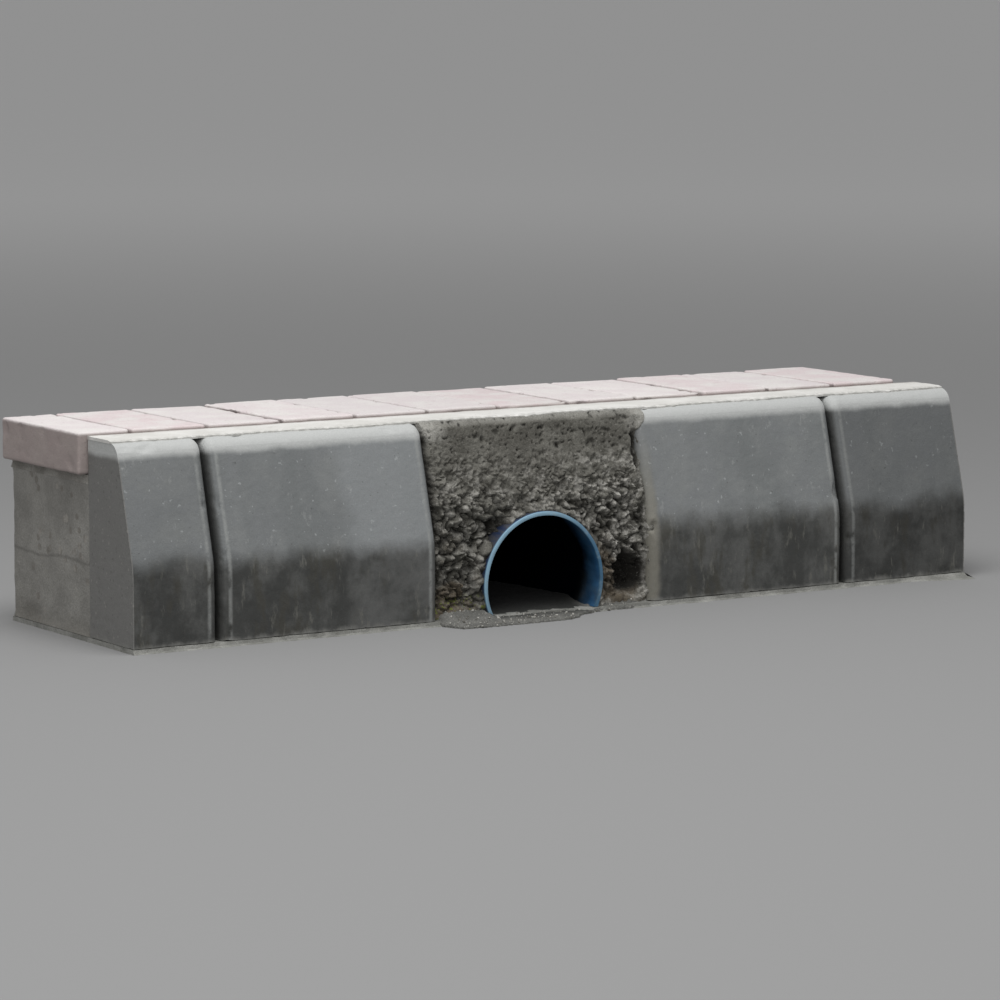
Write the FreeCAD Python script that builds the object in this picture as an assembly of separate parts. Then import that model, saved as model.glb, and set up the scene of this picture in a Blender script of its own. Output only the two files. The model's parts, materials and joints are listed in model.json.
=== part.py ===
"""A short run of street kerb with a sewer pipe outlet, in millimetres.

Two kerb stones stand each side of a gap one stone wide. A thin-walled plastic
sewer pipe comes down to the street through that gap and is packed in with
coarse mortar. Paving blocks lie behind the kerb on a bed of mortar, over plain
backing concrete. X runs along the kerb, +Y goes back under the paving and +Z is up.
"""
import FreeCAD
import Part

import math
import os

# --- kerb stones: precast blocks, upright below, leaning back above -----------
STONE_LENGTH = 290.0        # a whole stone, along the kerb
STONE_WIDTH = 108.0         # front to back at the foot
STONE_HEIGHT = 231.0        # from the mortar bed to the top
FOOT_HEIGHT = 90.0          # the upright lower part of the face
BATTER = 15.1               # lean of the upper face, in degrees
FACE_BEND_RADIUS = 90.0     # soft bend between the two parts of the face
NOSE_RADIUS = 18.0          # rounded top front edge
END_RADIUS = 11.0           # rounded ends of the face and the top
JOINT = 5.0                 # open joint between two stones
LEFT_STUB = 110.0           # cut stone at the left end
RIGHT_STUB = 186.0          # cut stone at the right end

# --- gap for the outlet, and its mortar ----------------------------------------
GAP = STONE_LENGTH + 2 * JOINT   # where one stone was left out
PACKING_RECESS = 10.0       # the packing's face, behind the foot of the stones
PACKING_BLEND = 40.0        # height above the stones' bend where it meets their leaning face

# --- mortar bed under the stones -------------------------------------------------
BED_THICKNESS = 6.0
BED_LIP = 6.0               # the bed's squeezed-out edge, in front of the stones

# --- cement skim over the top of the stones -------------------------------------
SKIM_THICKNESS = 3.0
SKIM_SETBACK = 4.0          # from the end of the nose's curve to the skim's edge

# --- paving blocks, their bed and the backing concrete --------------------------
PAVER_LENGTH = 200.0        # front to back
PAVER_WIDTH = 97.0          # along the kerb
PAVER_THICKNESS = 50.0
PAVER_JOINT = 3.0
PAVER_CUT_WIDTH = 67.0      # the first block, cut narrow
PAVER_STEP = 6.0            # the paving stands this far above the skim
PAVER_OVERHANG = 12.0       # the first block, past the left end of the kerb
PAVER_GAP = 2.0             # between the stones' back and the paving
PAVER_CHAMFER = 3.0
PAVER_BED_THICKNESS = 12.0

# --- pipe ------------------------------------------------------------------------
PIPE_DIAMETER = 168.0       # outside
PIPE_WALL = 4.5
PIPE_OFFSET = -2.5          # its axis from the middle of the gap
PIPE_SUNK = 43.0            # the underside of its mouth, below the ground
REAR_CLEARANCE = 1.0        # its underside over the bed, at the back of the backing
BARE_LENGTH = 15.0          # behind the backing, along its axis, before the socket
SOCKET_FLARE = 12.0         # length of the flare, along its axis
SOCKET_LENGTH = 75.0        # straight part of the socket for the next pipe
SOCKET_CLEARANCE = 0.3      # round the next pipe
SOCKET_CHAMFER = 1.5        # inside its edge

# --- silt in the pipe, and the tongue of it washed out on to the ground -----------
SILT_DEPTH = 9.0            # above the mortar bed
SILT_LENGTH = 270.0
TONGUE_REACH = 36.0         # in front of the bed's lip
TONGUE_HALF_WIDTH = 96.0
TONGUE_OFFSET = -46.0       # its middle from the pipe's axis
TONGUE_EDGE = 2.0           # thickness left at its front edge

# --- places that follow from those sizes ------------------------------------------
STONES_BOTTOM = BED_THICKNESS
STONES_TOP = STONES_BOTTOM + STONE_HEIGHT
SKIM_TOP = STONES_TOP + SKIM_THICKNESS
PAVING_FRONT = STONE_WIDTH + PAVER_GAP
PAVING_BACK = PAVING_FRONT + PAVER_LENGTH
PAVING_TOP = SKIM_TOP + PAVER_STEP
PAVING_BOTTOM = PAVING_TOP - PAVER_THICKNESS
BACKING_TOP = PAVING_BOTTOM - PAVER_BED_THICKNESS

KERB_LEFT = 0.0
STONE_LEFT_X = KERB_LEFT + LEFT_STUB + JOINT
GAP_LEFT = STONE_LEFT_X + STONE_LENGTH
GAP_RIGHT = GAP_LEFT + GAP
STUB_RIGHT_X = GAP_RIGHT + STONE_LENGTH + JOINT
KERB_RIGHT = STUB_RIGHT_X + RIGHT_STUB
PIPE_X = (GAP_LEFT + GAP_RIGHT) / 2 + PIPE_OFFSET

LEAN = math.tan(math.radians(BATTER))
LEAN_BASE = STONES_BOTTOM + FOOT_HEIGHT
NOSE_Y = (STONES_TOP - LEAN_BASE) * LEAN
NOSE_END = NOSE_Y + NOSE_RADIUS * math.tan(math.radians((90 - BATTER) / 2))

# The first block is cut, and as many whole ones follow it as the kerb has room for.
PAVER_PITCH = PAVER_WIDTH + PAVER_JOINT
WHOLE_PAVERS_X = KERB_LEFT - PAVER_OVERHANG + PAVER_CUT_WIDTH + PAVER_JOINT
PAVER_COUNT = 1 + int((KERB_RIGHT + PAVER_JOINT - WHOLE_PAVERS_X) // PAVER_PITCH)

# The pipe's fall (an angle in radians) lifts its underside just clear of the bed at the back.
PIPE_RADIUS = PIPE_DIAMETER / 2
BORE_RADIUS = PIPE_RADIUS - PIPE_WALL
SOCKET_RADIUS = PIPE_RADIUS + SOCKET_CLEARANCE
MOUTH_HEIGHT = PIPE_RADIUS - PIPE_SUNK
REAR_RISE = MOUTH_HEIGHT - BED_THICKNESS - REAR_CLEARANCE
PIPE_FALL = math.asin(PIPE_RADIUS / math.hypot(PAVING_BACK, REAR_RISE)) - math.atan2(REAR_RISE, PAVING_BACK)
PIPE_DIRECTION = FreeCAD.Vector(0, math.cos(PIPE_FALL), math.sin(PIPE_FALL))
MOUTH = FreeCAD.Vector(PIPE_X, 0, MOUTH_HEIGHT)

# Distances along the pipe's axis from the mouth. The bare length starts where the whole
# round of the pipe is out of the backing, at its low side.
FLARE_START = PAVING_BACK / PIPE_DIRECTION.y + PIPE_RADIUS * math.tan(PIPE_FALL) + BARE_LENGTH
SOCKET_START = FLARE_START + SOCKET_FLARE
PIPE_LENGTH = SOCKET_START + SOCKET_LENGTH
FAR = 2000.0                # longer than anything here, for cutting tools


def block(x0, x1, y0, y1, z0, z1):
    """A plain box between two corners."""
    return Part.makeBox(x1 - x0, y1 - y0, z1 - z0, FreeCAD.Vector(x0, y0, z0))


def prism(outline, x0, x1):
    """A closed outline of (y, z) points, swept along the kerb from x0 to x1."""
    points = [FreeCAD.Vector(x0, y, z) for y, z in outline]
    face = Part.Face(Part.makePolygon(points + points[:1]))
    return face.extrude(FreeCAD.Vector(x1 - x0, 0, 0))


def edges_along_kerb(solid, y, z):
    """The edges of a prism that run along the kerb at one place of its outline."""
    found = []
    for edge in solid.Edges:
        ends = [vertex.Point for vertex in edge.Vertexes]
        if all(abs(p.y - y) < 0.01 and abs(p.z - z) < 0.01 for p in ends):
            found.append(edge)
    return found


def end_edges(solid, x):
    """The edges round the face and the top at one end of a stone, for its rounding."""
    found = []
    for edge in solid.Edges:
        box = edge.BoundBox
        at_end = abs(box.XMin - x) < 0.01 and abs(box.XMax - x) < 0.01
        on_foot = box.ZMax < STONES_BOTTOM + 0.01
        on_back = box.YMin > STONE_WIDTH - 0.01
        if at_end and not on_foot and not on_back:
            found.append(edge)
    return found


def kerb_stone(x0, x1, rounded_ends):
    """One kerb stone, with its face bent at the foot and its top edge rounded."""
    outline = [(0, STONES_BOTTOM), (STONE_WIDTH, STONES_BOTTOM), (STONE_WIDTH, STONES_TOP),
               (NOSE_Y, STONES_TOP), (0, LEAN_BASE)]
    stone = prism(outline, x0, x1)
    stone = stone.makeFillet(NOSE_RADIUS, edges_along_kerb(stone, NOSE_Y, STONES_TOP))
    stone = stone.makeFillet(FACE_BEND_RADIUS, edges_along_kerb(stone, 0, LEAN_BASE))
    for x in rounded_ends:
        stone = stone.makeFillet(END_RADIUS, end_edges(stone, x))
    return stone


def along_pipe(radius, start, length):
    """A cylinder on the pipe's axis, from start to start + length along it."""
    return Part.makeCylinder(radius, length, MOUTH + PIPE_DIRECTION * start, PIPE_DIRECTION)


def street_side():
    """Everything in front of the mouth, for sawing the pipe flush with the kerb."""
    return block(-FAR, FAR, -FAR, 0, -FAR, FAR)


def under_bed_top():
    """Everything under the top of the mortar bed, as far back as the bed goes."""
    return block(-FAR, FAR, -FAR, PAVING_BACK, -FAR, BED_THICKNESS)


def pipe_envelope():
    """The pipe's outside as a solid bar that runs out past both its ends."""
    return along_pipe(PIPE_RADIUS, -PIPE_RADIUS, PIPE_LENGTH + 2 * PIPE_RADIUS)


def sewer_pipe():
    """The pipe: a socket at the back, sawn flush with the face, its lip trimmed to the bed."""
    start = -PIPE_RADIUS
    wall = [(BORE_RADIUS, start), (BORE_RADIUS, FLARE_START), (SOCKET_RADIUS, SOCKET_START),
            (SOCKET_RADIUS, PIPE_LENGTH - SOCKET_CHAMFER), (SOCKET_RADIUS + SOCKET_CHAMFER, PIPE_LENGTH),
            (SOCKET_RADIUS + PIPE_WALL, PIPE_LENGTH), (SOCKET_RADIUS + PIPE_WALL, SOCKET_START),
            (PIPE_RADIUS, FLARE_START), (PIPE_RADIUS, start)]
    points = [FreeCAD.Vector(radius, 0, place) for radius, place in wall]
    section = Part.Face(Part.makePolygon(points + points[:1]))
    pipe = section.revolve(FreeCAD.Vector(), FreeCAD.Vector(0, 0, 1), 360)
    pipe.Placement = FreeCAD.Placement(MOUTH, FreeCAD.Rotation(FreeCAD.Vector(0, 0, 1), PIPE_DIRECTION))
    return pipe.cut(street_side()).cut(under_bed_top())


def outlet_packing():
    """Coarse mortar between the stones and round the pipe."""
    blend_z = LEAN_BASE + PACKING_BLEND
    blend_y = (blend_z - LEAN_BASE) * LEAN
    outline = [(PACKING_RECESS, STONES_BOTTOM), (STONE_WIDTH, STONES_BOTTOM), (STONE_WIDTH, STONES_TOP),
               (NOSE_Y, STONES_TOP), (blend_y, blend_z)]
    return prism(outline, GAP_LEFT, GAP_RIGHT).cut(pipe_envelope())


def mortar_bed():
    """The thin bed that all the stones and the backing stand on."""
    return block(KERB_LEFT, KERB_RIGHT, -BED_LIP, PAVING_BACK, 0, BED_THICKNESS)


def backing_concrete():
    """Plain concrete behind the stones, under the paving, cast round the pipe."""
    backing = block(KERB_LEFT, KERB_RIGHT, STONE_WIDTH, PAVING_BACK, BED_THICKNESS, BACKING_TOP)
    return backing.cut(pipe_envelope())


def cement_skim():
    """A thin skim over the flat of the stones, from the nose back to the paving."""
    return block(KERB_LEFT, KERB_RIGHT, NOSE_END + SKIM_SETBACK, STONE_WIDTH, STONES_TOP, SKIM_TOP)


def paver_bed():
    """The bed of mortar between the backing and the blocks."""
    bed = block(KERB_LEFT, KERB_RIGHT, PAVING_FRONT, PAVING_BACK, BACKING_TOP, PAVING_BOTTOM)
    return bed.cut(pipe_envelope())


def paver(number):
    """One paving block, laid end-on to the kerb, with its top edges chamfered."""
    x0 = WHOLE_PAVERS_X + (number - 1) * PAVER_PITCH
    x1 = x0 + PAVER_WIDTH
    if number == 0:
        x0 = x1 - PAVER_CUT_WIDTH
    body = block(x0, x1, PAVING_FRONT, PAVING_BACK, PAVING_BOTTOM, PAVING_TOP)
    top = [edge for edge in body.Edges if edge.BoundBox.ZMin > PAVING_TOP - 0.01]
    return body.makeChamfer(PAVER_CHAMFER, top).cut(pipe_envelope())


def silt():
    """Silt lying in the mouth of the pipe, and its tongue over the bed on to the ground."""
    level = BED_THICKNESS + SILT_DEPTH
    inside = along_pipe(BORE_RADIUS, -PIPE_RADIUS, PIPE_LENGTH)
    inside = inside.common(block(-FAR, FAR, 0, SILT_LENGTH, BED_THICKNESS, level))
    front = -BED_LIP - TONGUE_REACH
    outline = [(front, 0), (-BED_LIP, 0), (-BED_LIP, BED_THICKNESS), (0, BED_THICKNESS), (0, level),
               (-BED_LIP, level - TONGUE_EDGE), (front, TONGUE_EDGE)]
    tongue = prism(outline, -FAR, FAR)
    middle = PIPE_X + TONGUE_OFFSET
    oval = Part.Ellipse(FreeCAD.Vector(middle, 0, 0), TONGUE_HALF_WIDTH, -front)
    plan = Part.Face(Part.Wire(oval.toShape())).extrude(FreeCAD.Vector(0, 0, FAR))
    return inside.fuse(tongue.common(plan)).removeSplitter()


def build():
    """Every piece by its name."""
    left_stub_end = KERB_LEFT + LEFT_STUB
    right_stone_end = GAP_RIGHT + STONE_LENGTH
    pieces = {
        "kerb_stone_left_end": kerb_stone(KERB_LEFT, left_stub_end, [left_stub_end]),
        "kerb_stone_left": kerb_stone(STONE_LEFT_X, GAP_LEFT, [STONE_LEFT_X, GAP_LEFT]),
        "kerb_stone_right": kerb_stone(GAP_RIGHT, right_stone_end, [GAP_RIGHT, right_stone_end]),
        "kerb_stone_right_end": kerb_stone(STUB_RIGHT_X, KERB_RIGHT, [STUB_RIGHT_X]),
        "outlet_packing": outlet_packing(),
        "sewer_pipe": sewer_pipe(),
        "pipe_silt": silt(),
        "mortar_bed": mortar_bed(),
        "backing_concrete": backing_concrete(),
        "cement_skim": cement_skim(),
        "paver_bed": paver_bed(),
    }
    for number in range(PAVER_COUNT):
        pieces[f"paver_{number + 1:02d}"] = paver(number)
    return pieces


def centred(pieces):
    """The pieces moved together, so that the origin is under the middle of them all."""
    box = FreeCAD.BoundBox()
    for shape in pieces.values():
        box.add(shape.optimalBoundingBox(False))
    shift = FreeCAD.Vector(-box.Center.x, -box.Center.y, -box.ZMin)
    for shape in pieces.values():
        shape.translate(shift)
    return shift


def main():
    os.makedirs("parts", exist_ok=True)
    pieces = build()
    shift = centred(pieces)
    print("moved by", [round(v, 3) for v in shift])
    for name, shape in pieces.items():
        solids = shape.Solids
        print(name, "solids", len(solids), "valid", shape.isValid(), "volume", round(shape.Volume))
        out = solids[0] if len(solids) == 1 else Part.makeCompound(solids)
        out.exportStep(f"parts/{name}.step")


main()
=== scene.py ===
import json
import math
import random

import bmesh
import bpy
from mathutils import Matrix, Vector, noise


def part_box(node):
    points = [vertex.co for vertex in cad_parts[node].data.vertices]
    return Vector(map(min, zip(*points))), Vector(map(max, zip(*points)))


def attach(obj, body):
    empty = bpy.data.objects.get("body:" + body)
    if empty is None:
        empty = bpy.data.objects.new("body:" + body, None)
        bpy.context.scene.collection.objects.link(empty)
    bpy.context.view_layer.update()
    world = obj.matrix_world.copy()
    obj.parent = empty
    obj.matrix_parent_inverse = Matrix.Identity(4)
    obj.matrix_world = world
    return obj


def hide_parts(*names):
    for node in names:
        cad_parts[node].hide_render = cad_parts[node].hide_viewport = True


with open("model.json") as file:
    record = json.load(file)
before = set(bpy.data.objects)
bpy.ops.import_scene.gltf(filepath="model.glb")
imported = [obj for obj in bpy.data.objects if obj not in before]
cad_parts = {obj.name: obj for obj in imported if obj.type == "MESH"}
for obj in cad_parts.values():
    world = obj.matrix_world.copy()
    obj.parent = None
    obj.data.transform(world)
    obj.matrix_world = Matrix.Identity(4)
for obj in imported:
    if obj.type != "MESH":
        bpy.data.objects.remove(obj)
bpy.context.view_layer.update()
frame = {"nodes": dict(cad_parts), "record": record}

# ------------------------------------------------------------------------------
# Kerb stones. Precast concrete, cast in a smooth mould, with the upper face leaning
# back and the top front edge and the ends rounded. Laid on a thin mortar bed with
# open joints. Road water has stained the foot of each stone dark, with pale runs.
FOOT_HEIGHT = 0.090
BATTER = math.radians(15.1)
BEND_RADIUS = 0.090
NOSE_RADIUS = 0.018
END_RADIUS = 0.011
STONE_GRID = 0.0036

STONES_LOW, STONES_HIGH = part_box("kerb_stone_left")
FACE_Y = STONES_LOW.y
STONES_BOTTOM = STONES_LOW.z
STONES_TOP = STONES_HIGH.z
STONES_BACK = STONES_HIGH.y
LEAN_BASE = STONES_BOTTOM + FOOT_HEIGHT
NOSE_Y = FACE_Y + (STONES_TOP - LEAN_BASE) * math.tan(BATTER)
NOSE_END = NOSE_Y + NOSE_RADIUS * math.tan((math.pi / 2 - BATTER) / 2)


def spread(value, low, high):
    """0 up to low, 1 from high on, and smooth between; high may be under low."""
    t = min(max((value - low) / (high - low), 0.0), 1.0)
    return t * t * (3 - 2 * t)


def wave(point, size, octaves=2):
    """Soft noise from about -1 to 1, whose features are about size metres wide."""
    return noise.fractal(point / size, 1.0, 2.0, octaves)


def sliced(bm, step, axes=(0, 1, 2)):
    """Cuts every face at even steps, so that its surface has points to be worn."""
    for axis in axes:
        places = [v.co[axis] for v in bm.verts]
        low = min(places)
        length = max(places) - low
        count = max(round(length / step), 1)
        along = Vector([float(i == axis) for i in range(3)])
        for i in range(1, count):
            everything = bm.verts[:] + bm.edges[:] + bm.faces[:]
            bmesh.ops.bisect_plane(bm, geom=everything, dist=1e-6, plane_no=along,
                                   plane_co=along * (low + length * i / count))


def worn(bm, wear):
    """Moves every point in along its normal by wear(point), in metres."""
    bm.normal_update()
    moves = [(v, v.normal * wear(v.co)) for v in bm.verts]
    for v, move in moves:
        v.co -= move


class Finish:
    """A procedural material. Each method adds one node and gives its output."""

    def __init__(self, name):
        self.material = bpy.data.materials.new(name)
        self.material.use_nodes = True
        self.tree = self.material.node_tree
        self.shader = self.tree.nodes["Principled BSDF"]
        self.place = self.tree.nodes.new("ShaderNodeTexCoord").outputs["Object"]
        self.x, self.y, self.z = self.node("ShaderNodeSeparateXYZ", self.place).outputs

    def node(self, kind, *values, **settings):
        new = self.tree.nodes.new(kind)
        for key, value in settings.items():
            setattr(new, key, value)
        for socket, value in zip(new.inputs, values):
            self.feed(socket, value)
        return new

    def feed(self, socket, value):
        if value is None:
            return
        if isinstance(value, bpy.types.NodeSocket):
            self.tree.links.new(value, socket)
        elif isinstance(value, tuple) and socket.type == "RGBA":
            socket.default_value = (*value, 1.0)
        else:
            socket.default_value = value

    def at(self, stretch):
        """The place, squeezed along each axis, so that patterns run long where it is small."""
        mapping = self.node("ShaderNodeMapping", self.place)
        mapping.inputs["Scale"].default_value = stretch
        return mapping.outputs[0]

    def noise(self, scale, detail=3.0, rough=0.55, stretch=(1, 1, 1)):
        return self.node("ShaderNodeTexNoise", self.at(stretch), None, scale, detail, rough).outputs[0]

    def cells(self, scale, feature="F1", stretch=(1, 1, 1)):
        cell = self.node("ShaderNodeTexVoronoi", self.at(stretch), feature=feature)
        cell.inputs["Scale"].default_value = scale
        return cell.outputs["Distance"]

    def band(self, value, low, high):
        """0 up to low, 1 from high on, and smooth between."""
        return self.node("ShaderNodeMapRange", value, low, high, 0.0, 1.0,
                         interpolation_type="SMOOTHSTEP").outputs[0]

    def calc(self, operation, a, b=0.0):
        return self.node("ShaderNodeMath", a, b, operation=operation).outputs[0]

    def mix(self, factor, a, b, blend="MIX"):
        mixer = self.node("ShaderNodeMix", data_type="RGBA", blend_type=blend)
        self.feed(mixer.inputs[0], factor)
        self.feed(mixer.inputs[6], a)
        self.feed(mixer.inputs[7], b)
        return mixer.outputs[2]

    def attribute(self, name):
        return self.node("ShaderNodeAttribute", attribute_name=name).outputs["Fac"]

    def done(self, colour, roughness, *relief):
        """Feeds the shader. Each relief is a height pattern and its depth in metres."""
        self.feed(self.shader.inputs["Base Color"], colour)
        self.feed(self.shader.inputs["Roughness"], roughness)
        normal = None
        for height, depth in relief:
            bump = self.tree.nodes.new("ShaderNodeBump")
            bump.inputs["Distance"].default_value = depth
            self.feed(bump.inputs["Height"], height)
            self.feed(bump.inputs["Normal"], normal)
            normal = bump.outputs[0]
        self.feed(self.shader.inputs["Normal"], normal)
        return self.material


def piece(bm, name, material, slot, *stands_for, sharp=40):
    """The finished mesh as an object that rides with the part."""
    bmesh.ops.recalc_face_normals(bm, faces=bm.faces)
    mesh = bpy.data.meshes.new(name)
    bm.to_mesh(mesh)
    bm.free()
    mesh.shade_smooth()
    mesh.set_sharp_from_angle(angle=math.radians(sharp))
    mesh.materials.append(material)
    made = bpy.data.objects.new(name, mesh)
    bpy.context.scene.collection.objects.link(made)
    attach(made, "root")
    if stands_for:
        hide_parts(*stands_for)
    return made


def kerb_concrete(name, tone, low_x, high_x, rounded, pale_from=None, smeared=False):
    """Weathered cast concrete: grey above, stained below, pale on the nose from dust and a painted highlight,
    with painted shade and a painted highlight on the rounded ends.
    """
    f = Finish(name)
    shade = lambda colour: tuple(c * tone for c in colour)
    bands = f.noise(10, 2, 0.5, (1.6, 1, 0.22))
    mottle = f.noise(26, 5, 0.62)
    grain = f.noise(700, 3, 0.6)
    colour = f.mix(f.band(bands, 0.35, 0.65), shade((0.168, 0.178, 0.178)), shade((0.198, 0.207, 0.210)))
    colour = f.mix(f.band(mottle, 0.42, 0.72), colour, shade((0.215, 0.224, 0.222)))
    pale = 0.0
    if pale_from is not None:
        edge = f.calc("ADD", f.x, f.calc("MULTIPLY", f.noise(18, 4), 0.05))
        pale = f.band(edge, pale_from, pale_from + 0.035)
        colour = f.mix(f.calc("MULTIPLY", pale, 0.75), colour, shade((0.262, 0.275, 0.280)))
    specks = f.band(f.noise(150, 2, 0.5), 0.68, 0.75)
    scratches = f.band(f.noise(75, 4, 0.8, (1.0, 1.0, 0.45)), 0.61, 0.68)
    colour = f.mix(f.calc("MULTIPLY", specks, 0.55), colour, shade((0.42, 0.44, 0.44)))
    colour = f.mix(f.calc("MULTIPLY", scratches, 0.30), colour, shade((0.36, 0.37, 0.36)))
    pocks = f.band(f.noise(230, 2, 0.5), 0.70, 0.75)
    colour = f.mix(f.calc("MULTIPLY", pocks, 0.5), colour, shade((0.070, 0.072, 0.070)))

    ragged = f.calc("MULTIPLY", f.noise(16, 4, 0.6, (1, 1, 0.8)), 0.050)
    runs = f.calc("MULTIPLY", f.noise(60, 3, 0.6, (1, 1, 0.3)), 0.010)
    level = f.calc("ADD", f.z, f.calc("SUBTRACT", f.calc("ADD", ragged, runs), 0.030))
    stained = f.band(level, 0.118, 0.086)
    foot = f.mix(f.band(f.noise(22, 5, 0.65, (1, 1, 0.7)), 0.38, 0.64), shade((0.042, 0.043, 0.040)),
                 shade((0.104, 0.105, 0.100)))
    olive = f.band(f.noise(34, 4, 0.65, (1, 1, 0.35)), 0.52, 0.66)
    foot = f.mix(f.calc("MULTIPLY", olive, 0.8), foot, shade((0.050, 0.047, 0.036)))
    foot = f.mix(f.calc("MULTIPLY", f.calc("MULTIPLY", pale, 0.6), f.band(f.noise(30, 3), 0.3, 0.6)), foot,
                 shade((0.135, 0.136, 0.132)))
    drips = f.band(f.noise(70, 4, 0.75, (1, 1, 0.28)), 0.57, 0.70)
    foot = f.mix(f.calc("MULTIPLY", drips, 0.65), foot, (0.175, 0.172, 0.150))
    colour = f.mix(f.calc("MULTIPLY", stained, 0.95), colour, foot)

    for end, inner in ((low_x, 1), (high_x, -1)):
        if smeared and inner == 1:
            continue
        if ("left" if inner == 1 else "right") not in rounded:
            sawn = f.calc("LESS_THAN", f.calc("MULTIPLY", f.calc("SUBTRACT", f.x, end), float(inner)), 0.0018)
            cut = f.mix(f.band(f.noise(90, 1), 0.42, 0.58), (0.150, 0.148, 0.140), (0.250, 0.245, 0.230))
            cut = f.mix(f.band(f.cells(120), 0.26, 0.16), (0.190, 0.188, 0.180), cut)
            colour = f.mix(sawn, colour, cut)
            continue
        away = f.calc("MULTIPLY", f.calc("SUBTRACT", f.x, end), float(inner))
        # Painted shade: the rounding at each end, where it turns into the open joint, is painted near black.
        end_joint_shade = f.calc("MULTIPLY", f.band(away, 0.0065, 0.001), 0.85)
        colour = f.mix(end_joint_shade, colour, shade((0.050, 0.051, 0.048)))
        # Painted highlight: a pale line along the crest of each rounded end, where light catches it.
        end_crest_highlight = f.calc("MULTIPLY", f.band(away, 0.0075, 0.0105), f.band(away, 0.0150, 0.0115))
        end_crest_highlight = f.calc("MULTIPLY", end_crest_highlight, f.band(f.noise(70, 4), 0.30, 0.52))
        colour = f.mix(f.calc("MULTIPLY", end_crest_highlight, 0.60), colour, shade((0.33, 0.34, 0.33)))
    if smeared:
        side = f.calc("ADD", f.x, f.calc("MULTIPLY", f.noise(30, 3), 0.012))
        smear = f.calc("MULTIPLY", f.band(side, low_x + 0.024, low_x + 0.015), f.band(f.z, 0.23, 0.10))
        colour = f.mix(f.calc("MULTIPLY", smear, 0.85), colour, (0.225, 0.215, 0.180))
    # The nose is painted pale: partly dust, partly a painted highlight where the overhead light falls on it.
    nose_edge = f.calc("ADD", f.z, f.calc("MULTIPLY", f.noise(40, 3), 0.006))
    colour = f.mix(f.band(nose_edge, 0.2185, 0.2275), colour, (0.50, 0.51, 0.50))
    dust_edge = f.calc("ADD", f.z, f.calc("MULTIPLY", f.noise(60, 4, 0.6, (1, 1, 0.4)), 0.020))
    colour = f.mix(f.calc("MULTIPLY", f.band(dust_edge, 0.022, 0.014), 0.8), colour, (0.22, 0.22, 0.205))
    colour = f.mix(f.band(grain, 0.3, 0.8), f.mix(1.0, colour, (0.86, 0.86, 0.86), "MULTIPLY"), colour)
    return f.done(colour, f.node("ShaderNodeMapRange", mottle, 0.3, 0.8, 0.62, 0.9).outputs[0],
                  (grain, 0.00025), (f.noise(120, 4), 0.0006))


def kerb_stone(node, rounded, chip_seed, **look):
    """One stone as cast: its section is drawn at one end, rounded and extruded."""
    low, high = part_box(node)
    bm = bmesh.new()
    section = ((FACE_Y, STONES_BOTTOM), (STONES_BACK, STONES_BOTTOM), (STONES_BACK, STONES_TOP),
               (NOSE_Y, STONES_TOP), (FACE_Y, LEAN_BASE))
    corners = [bm.verts.new((low.x, y, z)) for y, z in section]
    bm.faces.new(corners)
    turns = ((corners[3], NOSE_RADIUS, math.pi / 2 - BATTER, 8), (corners[4], BEND_RADIUS, BATTER, 6))
    for corner, radius, turn, segments in turns:
        bmesh.ops.bevel(bm, geom=[corner], offset=radius * math.tan(turn / 2), offset_type="OFFSET",
                        segments=segments, profile=0.5, affect="VERTICES", material=-1)
    swept = bmesh.ops.extrude_face_region(bm, geom=bm.faces[:])
    moved = [v for v in swept["geom"] if isinstance(v, bmesh.types.BMVert)]
    bmesh.ops.translate(bm, verts=moved, vec=(high.x - low.x, 0, 0))
    bmesh.ops.recalc_face_normals(bm, faces=bm.faces)
    for end in rounded:
        x = low.x if end == "left" else high.x
        rim = [e for e in bm.edges
               if all(abs(v.co.x - x) < 1e-5 for v in e.verts)
               and not all(v.co.z < STONES_BOTTOM + 1e-5 for v in e.verts)
               and not all(v.co.y > STONES_BACK - 1e-5 for v in e.verts)]
        bmesh.ops.bevel(bm, geom=rim, offset=END_RADIUS, offset_type="OFFSET", segments=5,
                        profile=0.5, affect="EDGES", material=-1)
    sliced(bm, STONE_GRID)
    shift = Vector((chip_seed * 3.1, 0, 0))

    def wear(p):
        q = p + shift
        ends = [p.x - low.x] * ("left" in rounded) + [high.x - p.x] * ("right" in rounded)
        edge = max(spread(min(ends), 0.016, 0.004), spread(p.z, STONES_TOP - 0.016, STONES_TOP - 0.004) * 0.6)
        edge *= spread(min(p.x - low.x, high.x - p.x), 0.0, 0.003)
        chip = max(wave(q, 0.030, 3) - 0.42, 0.0) * 0.010 * edge
        foot = spread(p.z, 0.13, 0.07)
        pits = max(wave(q, 0.009) - 0.25, 0.0) * 0.0010 * (0.4 + foot)
        return 0.0004 * (1 + wave(q, 0.09)) + 0.00012 * (1 + wave(q, 0.014)) + chip + pits

    worn(bm, wear)
    finish = kerb_concrete(f"concrete_{node}", low_x=low.x, high_x=high.x, rounded=rounded, **look)
    return piece(bm, f"{node}_cast", finish, "kerb_concrete", node, sharp=50)


PALE_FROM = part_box("kerb_stone_left")[1].x - 0.115
kerb_stone("kerb_stone_left_end", ("right",), 1, tone=0.93)
kerb_stone("kerb_stone_left", ("left", "right"), 2, tone=1.0, pale_from=PALE_FROM)
kerb_stone("kerb_stone_right", ("left", "right"), 3, tone=1.08, smeared=True)
kerb_stone("kerb_stone_right_end", ("left",), 4, tone=0.72)

# ------------------------------------------------------------------------------
# Sewer pipe. Thin extruded plastic, blue all through, with a socket formed on the
# uphill end. It was sawn off flush with the kerb's face, and its lip was trimmed to
# the bed. Sun and grit have paled the cut edge, and painted shade blackens the inside.
PIPE_DIAMETER = 0.168
PIPE_WALL = 0.0045
SOCKET_FLARE = 0.012
SOCKET_LENGTH = 0.075
SOCKET_CLEARANCE = 0.0003
SOCKET_CHAMFER = 0.0015
SAWN_EDGE = 0.0006
PIPE_SEGMENTS = 144

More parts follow.
